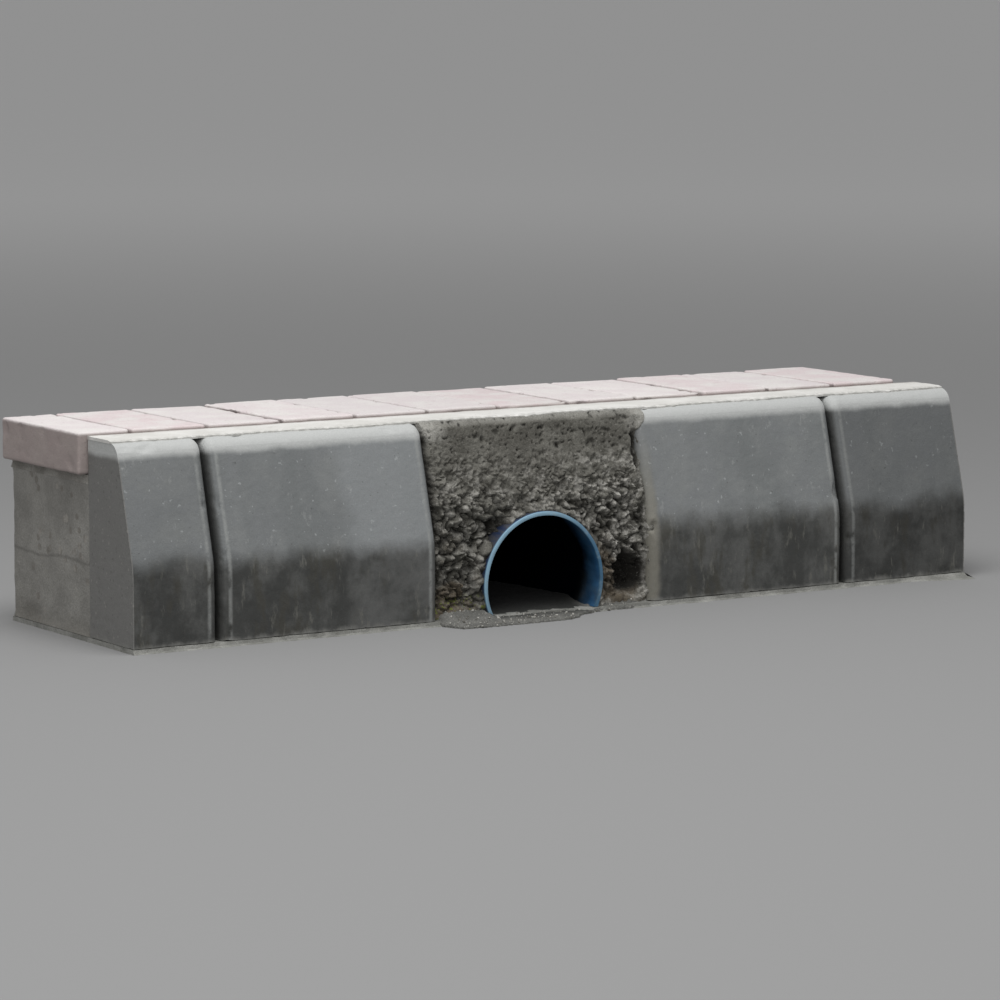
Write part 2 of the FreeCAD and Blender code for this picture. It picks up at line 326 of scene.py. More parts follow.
SOCKET = frame["record"]["mounts"][0]
PIPE_AXIS = Vector(SOCKET["axis"])
PIPE_TILT = Matrix.Rotation(math.atan2(PIPE_AXIS.z, PIPE_AXIS.y), 4, "X")
SOCKET_MIDDLE = Vector(SOCKET["pos_m"])
PIPE_RADIUS = PIPE_DIAMETER / 2
BORE_RADIUS = PIPE_RADIUS - PIPE_WALL
MOUTH = SOCKET_MIDDLE + PIPE_AXIS * (FACE_Y - SOCKET_MIDDLE.y) / PIPE_AXIS.y
SOCKET_START = (SOCKET_MIDDLE - MOUTH).length - SOCKET["dims"]["length_mm"] / 2000
BED_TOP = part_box("mortar_bed")[1].z


def block(low, high):
    """A plain box between two corners, to be cut, worn or taken out of something."""
    bm = bmesh.new()
    bmesh.ops.create_cube(bm, size=1.0)
    for v in bm.verts:
        v.co = Vector([low[i] if v.co[i] < 0 else high[i] for i in range(3)])
    return bm


def carved(bm, *cutters):
    """What is left of a closed mesh when each cutter's shape has been taken out of it."""
    made = []
    for shape in (bm, *cutters):
        bmesh.ops.recalc_face_normals(shape, faces=shape.faces)
        mesh = bpy.data.meshes.new("carving")
        shape.to_mesh(mesh)
        shape.free()
        made.append(bpy.data.objects.new("carving", mesh))
        bpy.context.scene.collection.objects.link(made[-1])
    for cutter in made[1:]:
        cut = made[0].modifiers.new("cut", "BOOLEAN")
        cut.operation = "DIFFERENCE"
        cut.solver = "EXACT"
        cut.object = cutter
    graph = bpy.context.evaluated_depsgraph_get()
    left = bmesh.new()
    left.from_mesh(made[0].evaluated_get(graph).to_mesh())
    for shape in made:
        bpy.data.objects.remove(shape)
    return left


def pipe_bar(radius):
    """A bar along the pipe's axis, the shape of the hole that the pipe fills."""
    bm = bmesh.new()
    bmesh.ops.create_cone(bm, cap_ends=True, segments=PIPE_SEGMENTS, radius1=radius, radius2=radius,
                          depth=1.0)
    bmesh.ops.rotate(bm, matrix=Matrix.Rotation(math.pi / 2, 3, "X"), verts=bm.verts)
    bmesh.ops.translate(bm, vec=(0, 0.4, 0), verts=bm.verts)
    along_pipe(bm, bm.verts)
    return bm


def along_pipe(bm, verts):
    """Turns and moves what was made about the Y axis on to the pipe's axis."""
    bmesh.ops.transform(bm, matrix=Matrix.Translation(MOUTH) @ PIPE_TILT, verts=verts)


def pipe_plastic():
    """Blue plastic: chalky on the cut edge, dirty in the mouth, and painted near black further in as shade.
    """
    f = Finish("blue_pipe_plastic")
    scuff = f.noise(90, 5, 0.65, (1, 0.3, 1))
    fine = f.noise(600, 3, 0.6)
    blue = f.mix(f.band(scuff, 0.35, 0.7), (0.026, 0.105, 0.240), (0.050, 0.160, 0.310))
    depth = f.calc("SUBTRACT", f.y, FACE_Y)
    chalk = f.band(depth, 0.0035, 0.0008)
    side = f.band(f.calc("SUBTRACT", f.z, f.x), 0.02, 0.17)
    rim = f.mix(side, (0.055, 0.150, 0.255), (0.240, 0.400, 0.520))
    rim = f.mix(f.calc("MULTIPLY", f.band(scuff, 0.5, 0.7), 0.5), rim, (0.26, 0.35, 0.40))
    bore_shade_depth = f.calc("ADD", depth, f.calc("MULTIPLY", f.noise(26, 4, 0.6), 0.040))
    inside = f.attribute("bore")
    soiled = f.mix(f.band(scuff, 0.4, 0.65), (0.018, 0.030, 0.070), (0.060, 0.060, 0.062))
    packed = f.calc("MULTIPLY", f.band(depth, 0.30, 0.26), f.calc("SUBTRACT", 1.0, inside))
    blue = f.mix(f.calc("MULTIPLY", f.band(f.noise(35, 4), 0.52, 0.70), 0.4), blue, (0.120, 0.125, 0.120))
    packed = f.calc("MULTIPLY", packed, f.calc("SUBTRACT", 1.0, chalk))
    colour = f.mix(packed, f.mix(chalk, blue, rim), soiled)
    # Painted shade: further into the bore the plastic is painted near black and its specular turned down,
    # standing in for the shade inside the pipe.
    dark = f.calc("MULTIPLY", f.band(bore_shade_depth, 0.012, 0.062), inside)
    f.feed(f.shader.inputs["Specular IOR Level"], f.calc("SUBTRACT", 0.5, f.calc("MULTIPLY", dark, 0.5)))
    colour = f.mix(f.calc("MULTIPLY", dark, 0.995), colour, (0.0006, 0.0008, 0.0014))
    film = f.calc("MULTIPLY", f.band(f.z, 0.060, 0.018), inside)
    film = f.calc("MULTIPLY", film, f.band(f.noise(60, 4), 0.3, 0.7))
    film = f.calc("MULTIPLY", film, f.band(depth, 0.050, 0.015))
    colour = f.mix(f.calc("MULTIPLY", film, 0.6), colour, (0.040, 0.044, 0.040))
    rough = f.node("ShaderNodeMapRange", scuff, 0.3, 0.8, 0.34, 0.62).outputs[0]
    return f.done(colour, rough, (fine, 0.00012), (scuff, 0.0002))


bm = bmesh.new()
pipe_end = SOCKET_START + SOCKET_LENGTH
socket_bore = PIPE_RADIUS + SOCKET_CLEARANCE
flare_start = SOCKET_START - SOCKET_FLARE
wall = ((BORE_RADIUS, -PIPE_RADIUS), (BORE_RADIUS, flare_start), (socket_bore, SOCKET_START),
        (socket_bore, pipe_end - SOCKET_CHAMFER), (socket_bore + SOCKET_CHAMFER, pipe_end),
        (socket_bore + PIPE_WALL, pipe_end), (socket_bore + PIPE_WALL, SOCKET_START),
        (PIPE_RADIUS, flare_start), (PIPE_RADIUS, -PIPE_RADIUS))
outline = [bm.verts.new((radius, place, 0)) for radius, place in wall]
for one, other in zip(outline, outline[1:]):
    bm.edges.new((one, other))
bends = [outline[i] for i in (1, 2, 6, 7)]
bmesh.ops.bevel(bm, geom=bends, offset=0.005, offset_type="OFFSET", segments=4, profile=0.5,
                affect="VERTICES", material=-1)
bmesh.ops.spin(bm, geom=bm.verts[:] + bm.edges[:], cent=(0, 0, 0), axis=(0, 1, 0), dvec=(0, 0, 0),
               angle=math.tau, steps=PIPE_SEGMENTS, use_merge=True)
bmesh.ops.remove_doubles(bm, verts=bm.verts, dist=1e-6)
along_pipe(bm, bm.verts)
before_face = block((-0.5, FACE_Y - 0.5, -0.5), (0.5, FACE_Y, 0.5))
below_bed = block((-0.5, -0.5, -0.5), (0.5, 0.5, BED_TOP))
bm = carved(bm, before_face, below_bed)
sawn = [e for e in bm.edges if len(e.link_faces) == 2 and e.calc_face_angle(0) > math.radians(60)
        and all(v.co.y < FACE_Y + 1e-4 for v in e.verts) and e.verts[0].co.z > BED_TOP + 0.001
        and e.verts[1].co.z > BED_TOP + 0.001]
bmesh.ops.bevel(bm, geom=sawn, offset=SAWN_EDGE, offset_type="OFFSET", segments=2, profile=0.5,
                affect="EDGES", material=-1)
sliced(bm, 0.012, axes=(1,))
bore_layer = bm.verts.layers.float.new("bore")
for v in bm.verts:
    off_axis = (v.co - MOUTH) - PIPE_AXIS * (v.co - MOUTH).dot(PIPE_AXIS)
    v[bore_layer] = spread(off_axis.length, BORE_RADIUS + 0.0012, BORE_RADIUS + 0.0004)
    v.co += off_axis.normalized() * 0.0002 * wave(v.co, 0.04)
piece(bm, "sewer_pipe_wall", pipe_plastic(), "pipe_plastic", "sewer_pipe", sharp=35)

# ------------------------------------------------------------------------------
# Outlet packing. Coarse sand and cement mortar, pushed in by hand round the pipe and
# between the two stones. The top third was struck off with a trowel and is only
# pitted; below that it is left in rough lumps, with hollows beside the stones.
PACKING_RECESS = 0.010
PACKING_BLEND = 0.040
PACKING_LAP = 0.018
PACKING_GRID = 0.00125
GAP_HEIGHT = 0.186
POCKET_SIDE = 0.020
POCKET_HEIGHT = 0.040

PACK_LOW, PACK_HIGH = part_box("outlet_packing")


def packing_mortar():
    """Dark brown-grey mortar, with pale patches painted on the lumps as highlights, and painted shade, nearly
    black, in the hollows.
    """
    f = Finish("packing_mortar")
    hollow_shade = f.attribute("hollow_shade")
    sand = f.noise(800, 3, 0.65)
    patch = f.noise(34, 4, 0.6)
    colour = f.mix(f.band(patch, 0.35, 0.68), (0.104, 0.099, 0.085), (0.176, 0.170, 0.150))
    # Painted highlights: pale patches in the lumpy lower part, stronger towards the right, stand in for light
    # catching the lumps' tops.
    lump_highlights = f.band(f.noise(75, 4, 0.7), 0.44, 0.64)
    low_lump_highlights = f.calc("MULTIPLY", lump_highlights, f.band(f.z, 0.215, 0.150))
    right = f.node("ShaderNodeMapRange", f.x, MOUTH.x, PACK_HIGH.x - 0.04, 0.55, 1.0).outputs[0]
    colour = f.mix(f.calc("MULTIPLY", low_lump_highlights, right), colour, (0.520, 0.505, 0.470))
    brown = f.calc("MULTIPLY", f.band(f.noise(15, 3), 0.48, 0.60), f.band(f.z, 0.12, 0.05))
    colour = f.mix(f.calc("MULTIPLY", brown, 0.8), colour, (0.110, 0.084, 0.054))
    from_left = f.calc("SUBTRACT", f.x, PACK_LOW.x)
    side = f.calc("MINIMUM", from_left, f.calc("SUBTRACT", PACK_HIGH.x + PACKING_LAP, f.x))
    side = f.calc("ADD", side, f.calc("MULTIPLY", f.noise(60, 4), 0.02))
    dusty = f.calc("MULTIPLY", f.band(side, 0.050, 0.020), f.band(f.z, 0.208, 0.224))
    dusty = f.calc("MAXIMUM", dusty, f.calc("MULTIPLY", f.band(f.z, 0.229, 0.237), 0.6))
    colour = f.mix(f.calc("MULTIPLY", dusty, 0.8), colour, (0.440, 0.430, 0.400))
    # Painted shade: the hollows, pits and cracks are painted nearly black.
    colour = f.mix(f.band(hollow_shade, 0.12, 0.95), colour, (0.022, 0.020, 0.016))
    grains = f.band(f.noise(420, 2, 0.5), 0.63, 0.71)
    colour = f.mix(f.calc("MULTIPLY", grains, 0.4), colour, (0.38, 0.37, 0.34))
    colour = f.mix(f.band(sand, 0.35, 0.68), f.mix(1.0, colour, (0.58, 0.58, 0.56), "MULTIPLY"), colour)
    left = f.band(f.x, MOUTH.x - 0.072, MOUTH.x - 0.084)
    moss = f.calc("MULTIPLY", left, f.band(f.z, 0.036, 0.022))
    moss = f.calc("MULTIPLY", moss, f.band(f.noise(210, 3), 0.56, 0.62))
    colour = f.mix(f.calc("MULTIPLY", moss, 0.8), colour, (0.16, 0.19, 0.03))
    return f.done(colour, 0.93, (sand, 0.0006), (f.noise(260, 4, 0.6), 0.0012))


def stone_face(z):
    """The front of the stones beside the packing at one height."""
    return FACE_Y + max(z - LEAN_BASE, 0.0) * math.tan(BATTER)


def packing_front(z):
    """The packing's plain face at one height: recessed at the foot, leaning above."""
    blend_z = LEAN_BASE + PACKING_BLEND
    blend_y = PACKING_BLEND * math.tan(BATTER)
    if z > blend_z:
        return FACE_Y + blend_y + (z - blend_z) * math.tan(BATTER)
    share = (z - STONES_BOTTOM) / (blend_z - STONES_BOTTOM)
    return FACE_Y + PACKING_RECESS + (blend_y - PACKING_RECESS) * share


def lumps(p, size):
    """How far down between lumps of about one size a point is: 0 on top, 1 in the crack."""
    q = p + Vector((wave(p, size * 1.3, 3), 0, wave(p + Vector((0, 5, 0)), size * 1.3, 3))) * size * 0.75
    near, second = noise.voronoi(q / size)[0][:2]
    return 1 - min((second - near) * 1.4, 1.0) ** 0.60


def packing_depth(p):
    """How deep the mortar's surface lies behind its plain face, in metres, and how much painted shade it gets
    there.
    """
    higher = 0.010 * spread(p.x, PACK_HIGH.x - 0.06, PACK_HIGH.x)
    rough = spread(p.z + 0.040 * wave(p, 0.06) + higher, 0.203, 0.160)
    coarse = spread(p.z + 0.020 * wave(p, 0.05), 0.170, 0.120)
    trowelled = 1 - rough
    fine_pore = max(wave(p, 0.0045, 2) - 0.20, 0.0)
    pit = max(wave(p + Vector((0, 3, 0)), 0.013, 3) - 0.28, 0.0)
    groove = max(wave(Vector((p.x, 6, p.z * 0.45 + p.x * 0.3)), 0.012, 3) - 0.38, 0.0)
    smooth_depth = 0.0022 * wave(p, 0.045, 4) + 0.0035 * fine_pore + 0.008 * pit + 0.006 * groove
    small, big = lumps(p, 0.0105), lumps(p + Vector((0, 7, 0)), 0.019)
    crumbs = 0.0028 * wave(p, 0.0085, 3) + 0.0014 * wave(p + Vector((0, 4, 0)), 0.0040, 2)
    rough_depth = 0.0065 * small + crumbs + coarse * (0.0120 * big ** 1.2 + 0.0050 * wave(p, 0.045)) - 0.0050
    depth = trowelled * smooth_depth + rough * rough_depth
    # dark is painted shade: in the pores, pits and grooves of the struck-off face, and in the cracks between
    # lumps.
    dark = trowelled * (1.5 * fine_pore + 0.9 * pit + 0.8 * groove)
    dark += rough * (0.45 * small ** 1.6 + 0.45 * coarse * big ** 1.6 + 60 * max(crumbs, -0.002))

    from_left, from_right = p.x - PACK_LOW.x, PACK_HIGH.x - p.x
    wander = 0.004 * wave(p, 0.035)
    beside = spread(from_left + wander, 0.006, 0.0) * spread(p.z, 0.236, 0.215)
    gap = spread(abs(from_right - 0.003) + wander, 0.008, 0.002)
    gap *= spread(abs(p.z - GAP_HEIGHT), 0.030, 0.016)
    depth += 0.008 * beside + 0.016 * gap
    # Painted shade in the hollow beside the left stone and in the gap at the right stone.
    dark += 0.75 * beside + 0.9 * gap
    pocket = Vector((from_right - POCKET_SIDE, 0, (p.z - POCKET_HEIGHT) * 0.85)).length
    pocket += 0.007 * wave(p, 0.02, 3)
    depth += 0.026 * spread(pocket, 0.030, 0.010)
    # Painted shade in the pocket.
    dark += 0.9 * spread(pocket, 0.030, 0.014)
    heap = spread(p.z + 0.004 * wave(p, 0.02), 0.028, 0.010)
    depth = depth * (1 - 0.8 * heap) - 0.004 * heap

    off_pipe = Vector((p.x - MOUTH.x, 0, p.z - MOUTH.z)).length - PIPE_RADIUS
    sliver = spread(Vector((p.x - MOUTH.x + 0.062, 0, p.z - MOUTH.z - 0.066)).length, 0.020, 0.010)
    near_pipe = spread(off_pipe, 0.015, 0.002) * (1 - sliver)
    flush = FACE_Y - packing_front(p.z) + 0.0012 + 0.45 * max(rough_depth + 0.005, 0.0)
    depth += near_pipe * (min(flush, depth) - depth)
    depth += sliver * 0.006
    # Painted shade in the sliver and close round the pipe.
    dark += 0.5 * sliver + 0.45 * spread(off_pipe, 0.005, 0.000)
    return depth, min(max(dark * (1 - heap), 0.0), 1.0)


bm = bmesh.new()
width, height = PACK_HIGH.x + PACKING_LAP - PACK_LOW.x, PACK_HIGH.z - PACK_LOW.z
bmesh.ops.create_grid(bm, x_segments=round(width / PACKING_GRID), y_segments=round(height / PACKING_GRID),
                      size=0.5)
hollow_shade_layer = bm.verts.layers.float.new("hollow_shade")
for v in bm.verts:
    x, z = PACK_LOW.x + (v.co.x + 0.5) * width, PACK_LOW.z + (v.co.y + 0.5) * height
    place = Vector((x, 0, z))
    depth, dark = packing_depth(place)
    y = packing_front(z) + depth
    over = max(x - PACK_HIGH.x, 0.0)
    rounded = max(END_RADIUS - over, 0.0)
    round_end = END_RADIUS - math.sqrt(END_RADIUS ** 2 - rounded ** 2)
    lapped = 0.0015 + (PACKING_LAP - 0.005) * spread(z, 0.208, 0.230) + 0.003 * wave(place, 0.015, 3)
    smear = stone_face(z) + round_end - 0.0008 + 0.0012 * wave(place, 0.010, 3)
    smear += 0.006 * spread(over, lapped - 0.002, lapped + 0.0025)
    lap = spread(x, PACK_HIGH.x - 0.003, PACK_HIGH.x + 0.002)
    y += (smear - y) * lap
    # This attribute carries the painted shade, with less of it on the lap over the stone.
    v[hollow_shade_layer] = dark * (1 - 0.7 * lap)
    edge = min(x - PACK_LOW.x, PACK_HIGH.x + PACKING_LAP - x, z - PACK_LOW.z, PACK_HIGH.z - z)
    sideways = 0.0015 * wave(place, 0.012) * spread(edge, 0.0, 0.004)
    top = spread(PACK_HIGH.z - z, 0.007, 0.0) * 0.007
    v.co = Vector((x + sideways, max(y + top, FACE_Y), z))
rim = [e for e in bm.edges if e.is_boundary]
skirt = bmesh.ops.extrude_edge_only(bm, edges=rim)
for v in skirt["geom"]:
    if isinstance(v, bmesh.types.BMVert):
        v.co.y = STONES_BACK
bmesh.ops.contextual_create(bm, geom=[e for e in bm.edges if e.is_boundary])
bm = carved(bm, pipe_bar(PIPE_RADIUS - 0.001))
piece(bm, "mortar_packing", packing_mortar(), "packing_mortar", "outlet_packing", sharp=60)

# ------------------------------------------------------------------------------
# Silt. Grey road dirt and grit that the water leaves: it lies in the bottom of the
# pipe, in a low tongue in front of the mouth and against the foot of the packing.
SILT_LEVEL = 0.015
SILT_GRID = 0.0012
SILT_LENGTH = 0.270
SILT_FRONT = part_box("pipe_silt")[0].y


def dried_silt():
    """Gritty grey silt with pale sand grains and darker patches; painted shade darkens it in front of the
    pipe's mouth and nearly blackens it inside.
    """
    f = Finish("dried_silt")
    grit = f.noise(1100, 2, 0.7)
    patch = f.noise(40, 4)
    colour = f.mix(f.band(patch, 0.35, 0.7), (0.130, 0.130, 0.120), (0.205, 0.203, 0.188))
    speck = f.band(f.noise(520, 2, 0.6), 0.60, 0.68)
    colour = f.mix(f.calc("MULTIPLY", speck, 0.6), colour, (0.42, 0.41, 0.38))
    colour = f.mix(f.band(grit, 0.3, 0.65), f.mix(1.0, colour, (0.5, 0.5, 0.5), "MULTIPLY"), colour)
    off_mouth = f.calc("ABSOLUTE", f.calc("SUBTRACT", f.x, MOUTH.x - 0.006))
    # Painted shade on the silt in and just in front of the pipe's mouth.
    mouth_shade = f.calc("ADD", f.y, f.calc("MULTIPLY", f.noise(45, 3), 0.012))
    mouth_shade = f.calc("MULTIPLY", f.band(mouth_shade, FACE_Y - 0.020, FACE_Y + 0.012), f.band(off_mouth, 0.078, 0.060))
    colour = f.mix(f.calc("MULTIPLY", mouth_shade, 0.93), colour, (0.022, 0.023, 0.021))
    # Painted shade: silt further inside the pipe is painted nearly black.
    inside = f.band(f.y, FACE_Y + 0.010, FACE_Y + 0.060)
    colour = f.mix(inside, colour, (0.002, 0.0022, 0.002))
    return f.done(colour, 0.95, (grit, 0.0008), (f.noise(300, 3), 0.0012))


def silt_front(x):
    """Where the tongue's front edge lies, from the face, at one place along the kerb."""
    left = x - PACK_LOW.x
    away = spread(left, 0.232, 0.150) * spread(left, -0.006, 0.016)
    reach = 0.004 + 0.036 * away + 0.010 * spread(abs(left - 0.115), 0.06, 0.0)
    jag = 0.004 * wave(Vector((x, 0, 0)), 0.030, 3) + 0.002 * wave(Vector((x, 2, 0)), 0.006, 2)
    return max(FACE_Y - reach + jag, SILT_FRONT)


def silt_height(x, y):
    """The tongue's height at one place: deepest against the packing, nothing in front."""
    place = Vector((x, y, 0))
    run = y - silt_front(x)
    mouth = spread(abs(x - MOUTH.x + 0.006), 0.080, 0.060)
    heap = (SILT_LEVEL - 0.0035) * spread(run, 0.006, 0.052) * (1 - 0.85 * mouth)
    rise = 0.0032 * spread(run, 0.0, 0.006) + heap
    right = spread(x, PACK_HIGH.x - 0.085, PACK_HIGH.x - 0.070)
    rise += 0.006 * right * spread(run, 0.002, 0.016)
    return rise + 0.0012 * wave(place, 0.016, 3) + 0.0007 * wave(place, 0.004, 2)


def heaped(bm, floor_z):
    """Closes a silt surface downwards to a flat underside."""
    skirt = bmesh.ops.extrude_edge_only(bm, edges=[e for e in bm.edges if e.is_boundary])
    for v in skirt["geom"]:
        if isinstance(v, bmesh.types.BMVert):
            v.co.z = floor_z
    bmesh.ops.holes_fill(bm, edges=[e for e in bm.edges if e.is_boundary], sides=0)


silt = dried_silt()
bm = bmesh.new()
tongue_back = FACE_Y + 0.016
tongue_x = (PACK_LOW.x + 0.001, PACK_HIGH.x - 0.001)
across, deep = tongue_x[1] - tongue_x[0], tongue_back - SILT_FRONT
bmesh.ops.create_grid(bm, x_segments=round(across / SILT_GRID), y_segments=round(deep / SILT_GRID), size=0.5)
for v in bm.verts:
    x, y = tongue_x[0] + (v.co.x + 0.5) * across, SILT_FRONT + (v.co.y + 0.5) * deep
    v.co = Vector((x, y, silt_height(x, y)))
bare = [v for v in bm.verts if v.co.y < silt_front(v.co.x) or v.co.z < 0.0008]
bmesh.ops.delete(bm, geom=bare, context="VERTS")
heaped(bm, 0.0)
piece(bm, "silt_tongue", silt, "silt", "pipe_silt", sharp=70)

bm = bmesh.new()
bmesh.ops.create_grid(bm, x_segments=90, y_segments=110, size=0.5)
for v in bm.verts:
    y = FACE_Y + 0.0005 + (v.co.y + 0.5) * SILT_LENGTH
    axis_z = MOUTH.z + (y - MOUTH.y) * PIPE_AXIS.z / PIPE_AXIS.y
    half = math.sqrt(max(BORE_RADIUS ** 2 - (axis_z - SILT_LEVEL) ** 2, 0.0)) + 0.0015
    x = MOUTH.x + v.co.x * 2 * half
    place = Vector((x, y, 0))
    level = 0.0050 + (SILT_LEVEL - 0.0060) * spread(y, FACE_Y + 0.004, FACE_Y + 0.075)
    v.co = Vector((x, y, level + 0.0010 * wave(place, 0.03, 3) + 0.0006 * wave(place, 0.005)))
heaped(bm, 0.0030)
piece(bm, "silt_in_pipe", silt, "silt", sharp=70)

# Grit. Loose grains and small stones, washed out with the silt and left lying on it.
GRIT_COUNT = 260


def grit_stone():
    """Mixed grey and buff grains."""
    f = Finish("grit_grains")
    tint = f.noise(170, 2)
    colour = f.mix(f.band(tint, 0.40, 0.62), (0.13, 0.125, 0.11), (0.42, 0.41, 0.38))
    return f.done(colour, 0.9, (f.noise(1500, 2), 0.0002))


draw = random.Random(7)
bm = bmesh.new()
while len(bm.verts) < GRIT_COUNT * 12:
    x = draw.uniform(tongue_x[0] + 0.003, tongue_x[1] - 0.003)
    y = draw.uniform(SILT_FRONT + 0.002, FACE_Y + 0.009)
    if y < silt_front(x) + 0.001:
        continue
    size = 0.0006 + 0.0014 * draw.random() ** 3
    grain = bmesh.ops.create_icosphere(bm, subdivisions=1, radius=size)["verts"]
    stretch = Vector([draw.uniform(0.7, 1.3) for _ in range(3)])
    bmesh.ops.scale(bm, vec=stretch, verts=grain)
    turn, lean = draw.uniform(0, 6), draw.random()
    bmesh.ops.rotate(bm, matrix=Matrix.Rotation(turn, 3, Vector((lean, 1, 0.5))), verts=grain)
    bmesh.ops.translate(bm, vec=(x, y, max(silt_height(x, y), size * 1.1) + size * 0.3), verts=grain)
piece(bm, "grit", grit_stone(), "silt", sharp=80)

# ------------------------------------------------------------------------------
# Mortar bed. Thin cement mortar spread along the road's edge; the stones were
# tapped down into it, so that a ragged pale lip squeezed out along their foot.
BED_GRID = 0.003
BED_LOW, BED_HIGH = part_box("mortar_bed")


def bed_mortar(name, dark, light):
    """Plain cement mortar, sandy and uneven in colour."""
    f = Finish(name)
    patch = f.noise(38, 5, 0.6)
    sand = f.noise(800, 3, 0.6)
    colour = f.mix(f.band(patch, 0.35, 0.7), dark, light)
    colour = f.mix(f.band(sand, 0.3, 0.7), f.mix(1.0, colour, (0.72, 0.72, 0.70), "MULTIPLY"), colour)
    stones = f.band(f.cells(210), 0.20, 0.12)
    colour = f.mix(f.calc("MULTIPLY", stones, 0.5), colour, (0.16, 0.155, 0.14))
    return f.done(colour, 0.92, (sand, 0.0004), (f.noise(150, 4), 0.0010))


def bed_lip(x):
    """How far the lip stands out in front of the stones, at one place along the kerb."""
    place = Vector((x, 0, 0))
    out = 0.0035 + 0.0045 * wave(place, 0.055, 3) + 0.0015 * wave(place, 0.009)
    right_end = spread(x, BED_HIGH.x - 0.085, BED_HIGH.x - 0.012)
    return max(out, 0.0004) + 0.020 * right_end


bm = block(BED_LOW, BED_HIGH)
sliced(bm, BED_GRID, axes=(0,))
for inset in (0.0, 0.004, 0.012):
    bmesh.ops.bisect_plane(bm, geom=bm.verts[:] + bm.edges[:] + bm.faces[:], dist=1e-6,
                           plane_co=(0, FACE_Y + inset, 0), plane_no=(0, 1, 0))
bmesh.ops.bisect_plane(bm, geom=bm.verts[:] + bm.edges[:] + bm.faces[:], dist=1e-6,
                       plane_co=(0, 0, BED_HIGH.z * 0.55), plane_no=(0, 0, 1))
for v in bm.verts:
    if v.co.y < FACE_Y - 0.001:
        share = v.co.z / BED_HIGH.z
        v.co.y = FACE_Y - bed_lip(v.co.x) * (1 - 0.75 * share ** 2)
        v.co.z *= 0.30 + 0.15 * wave(Vector((v.co.x, 9, 0)), 0.02)
    elif v.co.z > BED_HIGH.z - 1e-5:
        v.co.z -= 0.0004 * (1 + wave(v.co, 0.02))
piece(bm, "ragged_mortar_bed", bed_mortar("bed_mortar", (0.21, 0.21, 0.195), (0.36, 0.36, 0.34)),
      "bed_mortar", "mortar_bed", sharp=50)

# ------------------------------------------------------------------------------
# Cement skim. A few millimetres of smooth pale render floated over the tops of the
# stones and the packing, from the paving forwards, and left with a wandering edge.
SKIM_GRID = 0.0028
SKIM_EDGE = 0.050
SKIM_LOW, SKIM_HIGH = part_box("cement_skim")
SKIM_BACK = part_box("paver_02")[0].y - 0.0006


def skim_cement():
    """Pale cement, cleaner in the middle and soiled along both edges."""
    f = Finish("skim_cement")
    cloud = f.noise(17, 5, 0.6)
    grain = f.noise(500, 4, 0.6)
    colour = f.mix(f.band(cloud, 0.35, 0.7), (0.60, 0.59, 0.56), (0.70, 0.69, 0.665))
    soil = f.band(f.noise(60, 5, 0.7), 0.55, 0.72)
    back = f.band(f.y, SKIM_BACK - 0.010, SKIM_BACK - 0.001)
    colour = f.mix(f.calc("MULTIPLY", soil, 0.30), colour, (0.36, 0.35, 0.32))
    colour = f.mix(f.calc("MULTIPLY", back, 0.55), colour, (0.30, 0.27, 0.25))
    lip = f.attribute("lip")
    crumbly = f.calc("MULTIPLY", lip, f.band(f.noise(130, 4), 0.35, 0.6))
    colour = f.mix(f.calc("MULTIPLY", crumbly, 0.6), colour, (0.30, 0.30, 0.28))
    pin = f.band(f.noise(330, 2), 0.67, 0.73)
    colour = f.mix(f.calc("MULTIPLY", pin, 0.6), colour, (0.22, 0.21, 0.19))
    return f.done(colour, 0.85, (grain, 0.0003), (f.noise(70, 4), 0.0008))


def skim_edge(x):
    """Where the skim's front edge lies, at one place along the kerb."""
    place = Vector((x, 0, 0))
    return FACE_Y + SKIM_EDGE + 0.006 * wave(place, 0.11, 2) + 0.0022 * wave(place, 0.012, 3)


def stone_top(y):
    """The height of the stones' top at one depth, over the rounded nose."""
    short = max(NOSE_END - y, 0.0)
    return STONES_TOP - NOSE_RADIUS + math.sqrt(max(NOSE_RADIUS ** 2 - short ** 2, 0.0))


bm = bmesh.new()
run = SKIM_HIGH.x - SKIM_LOW.x
bmesh.ops.create_grid(bm, x_segments=round(run / SKIM_GRID), y_segments=24, size=0.5)
lip_layer = bm.verts.layers.float.new("lip")
for v in bm.verts:
    x, share = SKIM_LOW.x + (v.co.x + 0.5) * run, v.co.y + 0.5
    front = skim_edge(x)
    y = front + (SKIM_BACK - front) * share
    place = Vector((x, y, 0))
    thick = (SKIM_HIGH.z - STONES_TOP) * (0.40 + 0.45 * spread(share, 0.0, 0.12))
    bumps = 0.0004 * wave(place, 0.035, 3) + 0.0002 * wave(place, 0.008, 2)
    v[lip_layer] = spread(share, 0.16, 0.0)
    v.co = Vector((x, y, stone_top(y) + thick + bumps))
skirt = bmesh.ops.extrude_edge_only(bm, edges=[e for e in bm.edges if e.is_boundary])
for v in skirt["geom"]:
    if isinstance(v, bmesh.types.BMVert):
        v.co.z = stone_top(v.co.y) - 0.0012
bmesh.ops.holes_fill(bm, edges=[e for e in bm.edges if e.is_boundary], sides=0)
piece(bm, "floated_skim", skim_cement(), "skim", "cement_skim", sharp=50)

# ------------------------------------------------------------------------------
# Paving blocks. Pale pink pressed blocks laid end-on to the kerb, close together.
# Feet and weather have rounded their arrises, and no two sit at quite one level.
PAVER_ARRIS = 0.0035
PAVER_GRID = 0.005
PAVERS = sorted(name for name in frame["nodes"] if name.startswith("paver_") and name != "paver_bed")


